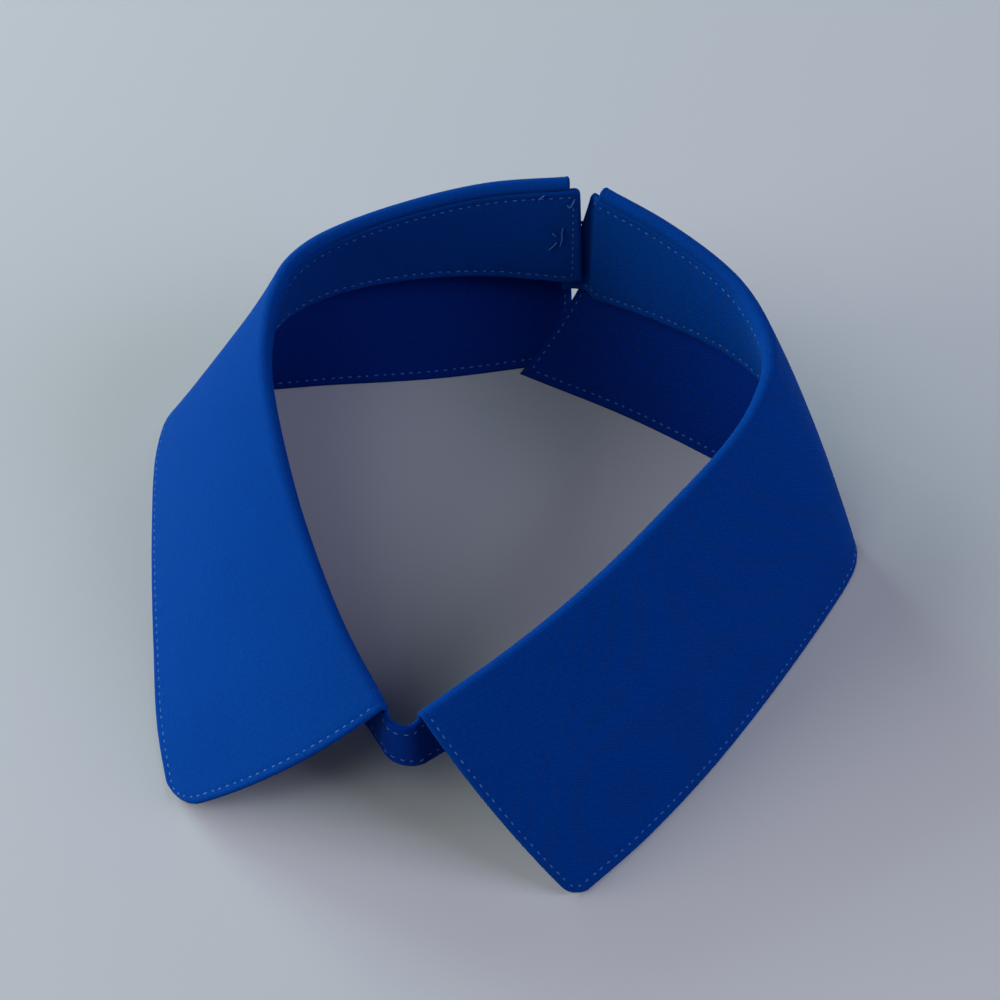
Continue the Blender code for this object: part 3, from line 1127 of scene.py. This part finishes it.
@dataclass
class Band:
    """The stand band: one strip from the left tab round the front loop to the right tab."""

    left: Half
    right: Half
    finish: bpy.types.Material
    thread: bpy.types.Material
    left_tab: float = 2.3
    left_tab_foot: float = 3.6
    thickness: float = 1.4
    corner_radius: float = 1.8
    columns: int = 620
    sections: int = 47
    fine_sections: int = 1201

    def edges(self) -> tuple[np.ndarray, np.ndarray, float]:
        """Gives the edges of the strip's middle surface, evenly along it.

        Returns:
            The points of the top, the points of the foot and the strip's length.
        """
        shares = np.linspace(0.0, 1.0, self.sections)
        left_top, left_foot = self.left.band_edges(shares)
        right_top, right_foot = self.right.band_edges(shares[::-1])
        past = unit(left_top[0] - left_top[1])
        top_end = left_top[0] + past * self.left_tab
        foot_end = left_foot[0] + past * self.left_tab_foot
        loop, tab = np.array(FRONT_LOOP), np.array(RIGHT_TAB)
        top = np.vstack((top_end, left_top, loop[:, :3], right_top, tab[:, :3]))
        foot = np.vstack((foot_end, left_foot, loop[:, 3:], right_foot, tab[:, 3:]))
        run = run_along((top + foot) / 2)
        span = float(run[-1])
        at = np.linspace(0.0, span, self.fine_sections)
        return curve_through(run, top, at), curve_through(run, foot, at), span

    def build(self) -> FoldedCloth:
        """Builds and dresses the band and its stitches.

        Returns:
            The band's folded cloth, for the threads that lie on it.
        """
        top, foot, span = self.edges()
        parts = np.linspace(0.0, 1.0, 9)[None, :, None]
        lines = top[:, None] * (1 - parts) + foot[:, None] * parts
        folded = FoldedCloth(
            name="band_cloth",
            cloth=Cloth.from_lines(lines, turned=-1.0, finely=60),
            span=span,
            thickness=self.thickness,
            columns=self.columns,
            rows_between=12,
            first_zone=EDGE_STEPS,
            last_zone=EDGE_STEPS,
            waves=BAND_WAVES,
            corner_radius=self.corner_radius,
            # The band's outer face, with the front loop, takes the painted shade.
            painted_shade_side=Face.OUTER,
        )
        piece = folded.build()
        dress(piece, self.finish, "cloth", "band")
        seam = SeamLine("band_stitches", folded, self.seam_path(folded)).build()
        dress(seam, self.thread, "thread")
        return folded

    def seam_path(self, folded: FoldedCloth, step: float = 1.0) -> np.ndarray:
        """Gives the line of stitches along the foot, the left end and the top.

        Args:
            folded: The band's cloth.
            step: Millimetres between points.

        Returns:
            Rows of share and depth.
        """
        margin = folded.margin
        inset = margin / folded.span
        ends = folded.cloth.length(np.array([inset, 1.0 - inset])) - margin
        top = np.arange(inset, 1.0 - inset, step / folded.span)
        foot = top[::-1]
        left = np.arange(ends[0], margin, -step)
        return np.vstack(
            (
                np.stack((foot, folded.cloth.length(foot) - margin), 1),
                np.stack((np.full(len(left), inset), left), 1),
                np.stack((top, np.full(len(top), margin)), 1),
            )
        )


def corners(offset: float) -> list[tuple[float, float]]:
    """Gives the four corners of a square about the middle."""
    return [(x, y) for x in (-offset, offset) for y in (-offset, offset)]


@dataclass
class Closure:
    """The button on the left tab's outer face, its thread shank and the cord loop round it."""

    half: Half
    plastic: bpy.types.Material
    thread: bpy.types.Material
    share: float = 0.02
    height: float = 41.0
    wall: float = 1.5
    radius: float = 4.3
    rim_width: float = 1.0
    rim_lap: float = 0.2
    thickness: float = 1.5
    plate: float = 0.85
    recess: float = 0.25
    back: float = 2.0
    hole_radius: float = 0.48
    hole_offset: float = 0.85
    strand_radius: float = 0.13
    strand_gap: float = 0.26
    strand_sink: float = 0.35
    strand_rise: float = 0.62
    shank_from: float = 0.05
    shank_into: float = 0.20
    shank_radius: float = 0.62
    shank_flare: float = 0.25
    winding_radius: float = 0.17
    core_radius: float = 0.32
    core_offset: float = 0.3
    turns: int = 6
    turn_steps: int = 14
    loop_turn: float = 1.6
    loop_off: float = 1.0
    loop_sewn: float = 0.5
    loop_step: float = 0.16
    ply: float = 0.22
    ply_nest: float = 0.9
    ply_lay: float = 1.7

    def seat(self) -> tuple[np.ndarray, np.ndarray]:
        """Gives the button's seat on the band's outer face.

        Returns:
            Its place, and the way out.
        """
        share = np.array([self.share])
        top, foot = self.half.band_edges(share)
        out = self.half.outward(share)[0]
        part = (top[0, 2] - self.height) / (top[0, 2] - foot[0, 2])
        return top[0] * (1 - part) + foot[0] * part + out * self.wall / 2, out

    def placed(self) -> Matrix:
        """Gives the way from the button's own millimetres into the scene.

        Returns:
            The matrix.
        """
        seat, out = self.seat()
        across = -np.cross(out, UP)
        turn = Matrix((Vector(across), Vector(UP), Vector(out))).transposed().to_4x4()
        return Matrix.Translation(Vector((seat + SHIFT) * MM)) @ turn @ Matrix.Scale(MM, 4)

    def local(self, x: float, y: float, z: float) -> np.ndarray:
        """Gives a place in the button's own millimetres as a place in the tables'."""
        seat, out = self.seat()
        return seat - np.cross(out, UP) * x + UP * y + out * z

    def button(self) -> bpy.types.Object:
        """Builds the button: a pierced plate inside a rounded, thicker rim.

        Returns:
            The piece.
        """
        mesh = bmesh.new()
        inside = self.radius - self.rim_width + self.rim_lap
        bmesh.ops.create_circle(mesh, segments=48, radius=inside)
        for x, y in corners(self.hole_offset):
            spot = Matrix.Translation((x, y, 0.0))
            bmesh.ops.create_circle(mesh, segments=14, radius=self.hole_radius, matrix=spot)
        bmesh.ops.triangle_fill(mesh, use_beauty=True, edges=mesh.edges[:])
        raised = bmesh.ops.extrude_face_region(mesh, geom=mesh.faces[:], use_keep_orig=True)
        tops = [v for v in raised["geom"] if isinstance(v, bmesh.types.BMVert)]
        bmesh.ops.translate(mesh, verts=tops, vec=(0.0, 0.0, self.plate))
        bmesh.ops.translate(mesh, verts=mesh.verts[:], vec=(0.0, 0.0, self.back + self.recess))
        half_width, half_height = self.rim_width / 2, self.thickness / 2
        middle = Matrix.Translation((self.radius - half_width, 0.0, self.back + half_height))
        size = Matrix.Diagonal((half_width, 1.0, half_height, 1.0))
        upright = Matrix.Rotation(math.pi / 2, 4, "X")
        section = bmesh.ops.create_circle(
            mesh, segments=16, radius=1.0, matrix=middle @ size @ upright
        )
        around = section["verts"] + list({e for v in section["verts"] for e in v.link_edges})
        bmesh.ops.spin(
            mesh,
            geom=around,
            cent=(0, 0, 0),
            axis=(0, 0, 1),
            angle=2 * math.pi,
            steps=48,
            use_merge=True,
        )
        bmesh.ops.recalc_face_normals(mesh, faces=mesh.faces[:])
        mesh.transform(self.placed())
        return link("button_disc", mesh, flat_caps=True)

    def shank(self) -> bpy.types.Object:
        """Builds the sewing thread: strands through the holes and windings behind the button.

        Returns:
            The piece.
        """
        mesh = bmesh.new()
        bed = self.back + self.recess + self.plate - self.strand_sink
        for y in (-self.hole_offset, self.hole_offset):
            for beside in (-self.strand_gap, 0.0, self.strand_gap):
                path = []
                for a in np.linspace(-1.0, 1.0, 9):
                    arch = bed + self.strand_rise * (1 - a**4)
                    path.append(self.local(self.hole_offset * a, y + beside, arch))
                thread_tube(mesh, np.array(path), self.strand_radius)
        low, high = self.shank_from, self.back + self.shank_into
        steps = self.turns * self.turn_steps
        winding = []
        for k in range(steps + 1):
            angle = 2 * math.pi * k / self.turn_steps
            swell = self.shank_radius * (1.0 + self.shank_flare * (2 * k / steps - 1) ** 2)
            x, y = swell * math.cos(angle), swell * math.sin(angle)
            winding.append(self.local(x, y, low + (high - low) * k / steps))
        thread_tube(mesh, np.array(winding), self.winding_radius)
        for x, y in corners(self.core_offset):
            core = [self.local(x, y, z) for z in (low, (low + high) / 2, high)]
            thread_tube(mesh, np.array(core), self.core_radius)
        return link_threads("button_thread", mesh)

    def route(self) -> np.ndarray:
        """Gives the loop cord's middle line, from the right tab round the shank and back.

        Returns:
            Points in millimetres.
        """
        top, foot = np.array(RIGHT_TAB[-1][:3]), np.array(RIGHT_TAB[-1][3:])
        legs = []
        for height in (-self.loop_turn, self.loop_turn):
            start = self.local(0.0, height, self.loop_off)
            part = (top[2] - start[2]) / (top[2] - foot[2])
            edge = top * (1 - part) + foot * part
            legs.append((edge + unit(edge - start) * self.loop_sewn, start))
        bend = [
            self.local(-self.loop_turn * math.cos(a), self.loop_turn * math.sin(a), self.loop_off)
            for a in np.linspace(-math.pi / 2, -math.pi * 1.5, 17)
        ]
        (far, near), (upper_far, upper_near) = legs
        there = [far + (near - far) * t for t in np.linspace(0, 0.95, 12)]
        back = [upper_near + (upper_far - upper_near) * t for t in np.linspace(0.05, 1, 12)]
        return np.array(there + bend + back)

    def loop(self) -> bpy.types.Object:
        """Builds the cord loop as two plies twisted round each other.

        Returns:
            The piece.
        """
        middle = self.route()
        run = run_along(middle)
        at = np.linspace(0.0, run[-1], int(run[-1] / self.loop_step))
        line = curve_through(run, middle, at)
        way = unit(np.gradient(line, axis=0))
        side = unit(np.cross(way, self.seat()[1]))
        lifted = np.cross(side, way)
        mesh = bmesh.new()
        for ply in range(2):
            angle = (2 * math.pi * at / self.ply_lay + math.pi * ply)[:, None]
            aside = (side * np.cos(angle) + lifted * np.sin(angle)) * self.ply * self.ply_nest
            thread_tube(mesh, line + aside, self.ply)
        return link_threads("loop_cord", mesh)

    def build(self) -> None:
        """Builds and dresses the button, its thread and the loop."""
        dress(self.button(), self.plastic, "button_plastic", "button")
        dress(self.shank(), self.thread, "thread", "button_shank")
        dress(self.loop(), self.thread, "thread", "button_loop")


@dataclass
class LooseThreads:
    """The button's thread ends on the left tab's inner face, and ends left by the seam."""

    folded: FoldedCloth
    thread: bpy.types.Material
    radius: float = 0.19
    steps_each: int = 4

    def build(self) -> None:
        """Builds the strands and the loose ends, each along its own line."""
        mesh = bmesh.new()
        for strand in INNER_STRANDS:
            knots = np.array(strand)
            run = run_along(knots[:, :2])
            at = np.linspace(0.0, run[-1], self.steps_each * len(knots))
            along, down, off = curve_through(run, knots, at).T
            points, normals = self.folded.on_face(along / self.folded.span, down, Face.INNER)
            lifted = points + normals * (off + self.radius)[:, None]
            thread_tube(mesh, lifted, self.radius)
        dress(link_threads("thread_mark", mesh), self.thread, "thread")


def direction(azimuth: float, elevation: float) -> Vector:
    """Gives the way from the collar to a lamp or the camera.

    Args:
        azimuth: Degrees from the right, towards the back.
        elevation: Degrees above the table.

    Returns:
        A unit vector.
    """
    turn, rise = math.radians(azimuth), math.radians(elevation)
    flat = math.cos(rise)
    return Vector((math.cos(turn) * flat, math.sin(turn) * flat, math.sin(rise)))


@dataclass
class Studio:
    """The floor, the soft lights and the camera."""

    target: tuple[float, float, float] = (0.00005, 0.0205, 0.0)
    azimuth: float = -74.0
    elevation: float = 50.0
    distance: float = 0.60
    sensor: float = 36.0
    lens: float = 95.04
    nearest: float = 0.01
    lamp_size: float = 0.87
    lamp_distance: float = 1.6
    floor_size: float = 3.0
    air_colour: Colour = (0.6, 0.7, 1.0)
    air_light: float = 0.03

    def place(self, name: str, data: bpy.types.ID, at: Vector, way: Vector) -> bpy.types.Object:
        """Places a lamp or a camera so that it faces the collar.

        Args:
            name: Its name.
            data: The lamp or the camera.
            at: Its place in metres.
            way: The way from the collar to it.

        Returns:
            Its object.
        """
        placed = bpy.data.objects.new(name, data)
        placed.location = at
        placed.rotation_euler = way.to_track_quat("Z", "Y").to_euler()
        bpy.context.collection.objects.link(placed)
        return placed

    def camera(self) -> None:
        """Places the camera."""
        data = bpy.data.cameras.new("camera")
        data.sensor_width, data.lens, data.clip_start = self.sensor, self.lens, self.nearest
        way = direction(self.azimuth, self.elevation)
        at = Vector(self.target) + way * self.distance
        bpy.context.scene.camera = self.place("camera", data, at, way)

    def lamp(self, lamp: Lamp) -> None:
        """Hangs one soft square lamp.

        Args:
            lamp: Its row of the table.
        """
        way = direction(lamp.azimuth, lamp.elevation)
        data = bpy.data.lights.new(lamp.name, "AREA")
        data.shape, data.size = "SQUARE", self.lamp_size
        data.energy, data.color = lamp.power, lamp.colour
        self.place(lamp.name, data, way * self.lamp_distance, way)

    def build(self) -> None:
        """Builds the floor, the lights and the camera."""
        mesh = bmesh.new()
        bmesh.ops.create_grid(mesh, x_segments=2, y_segments=2, size=self.floor_size)
        floor = link("floor", mesh)
        paper = Paper("pale_paper", (0.470, 0.462, 0.480), roughness=0.75)
        floor.data.materials.append(paper.build())
        for lamp in LAMPS:
            self.lamp(lamp)
        world = bpy.data.worlds.new("soft_room")
        world.use_nodes = True
        air = world.node_tree.nodes["Background"]
        air.inputs["Color"].default_value = (*self.air_colour, 1.0)
        air.inputs["Strength"].default_value = self.air_light
        bpy.context.scene.world = world
        bpy.context.scene.view_settings.view_transform = "Standard"
        self.camera()


def main() -> None:
    """Builds the collar, its closure and the studio in order."""
    logging.basicConfig(level=logging.INFO, format="%(message)s")
    left = Half(LEFT_HALF, side=1.0, lead=1.0)
    right = Half(RIGHT_HALF, side=-1.0, lead=0.4)
    twill = Twill("royal_twill", (0.0005, 0.045, 0.265), roughness=0.85).build()
    thread = Thread("blue_thread", (0.045, 0.155, 0.50), roughness=0.7).build()
    # A darker copy of the blue thread: painted shade for the band's stitches and the thread mark,
    # which lie in shade.
    dark = Thread("painted_shade_thread", (0.042, 0.125, 0.43), roughness=0.7).build()
    plastic = Plastic("navy_plastic", (0.010, 0.030, 0.14), roughness=0.30).build()
    Studio().build()
    band = Band(left, right, twill, dark).build()
    LooseThreads(band, dark).build()
    Leaf("leaf_left", left, LEFT_WAVES, twill, thread, point_radius=8.0).build()
    Leaf("leaf_right", right, RIGHT_WAVES, twill, thread, point_radius=4.2).build()
    Closure(left, plastic, thread).build()
    LOG.info("sizes written")


if __name__ == "__main__":
    main()
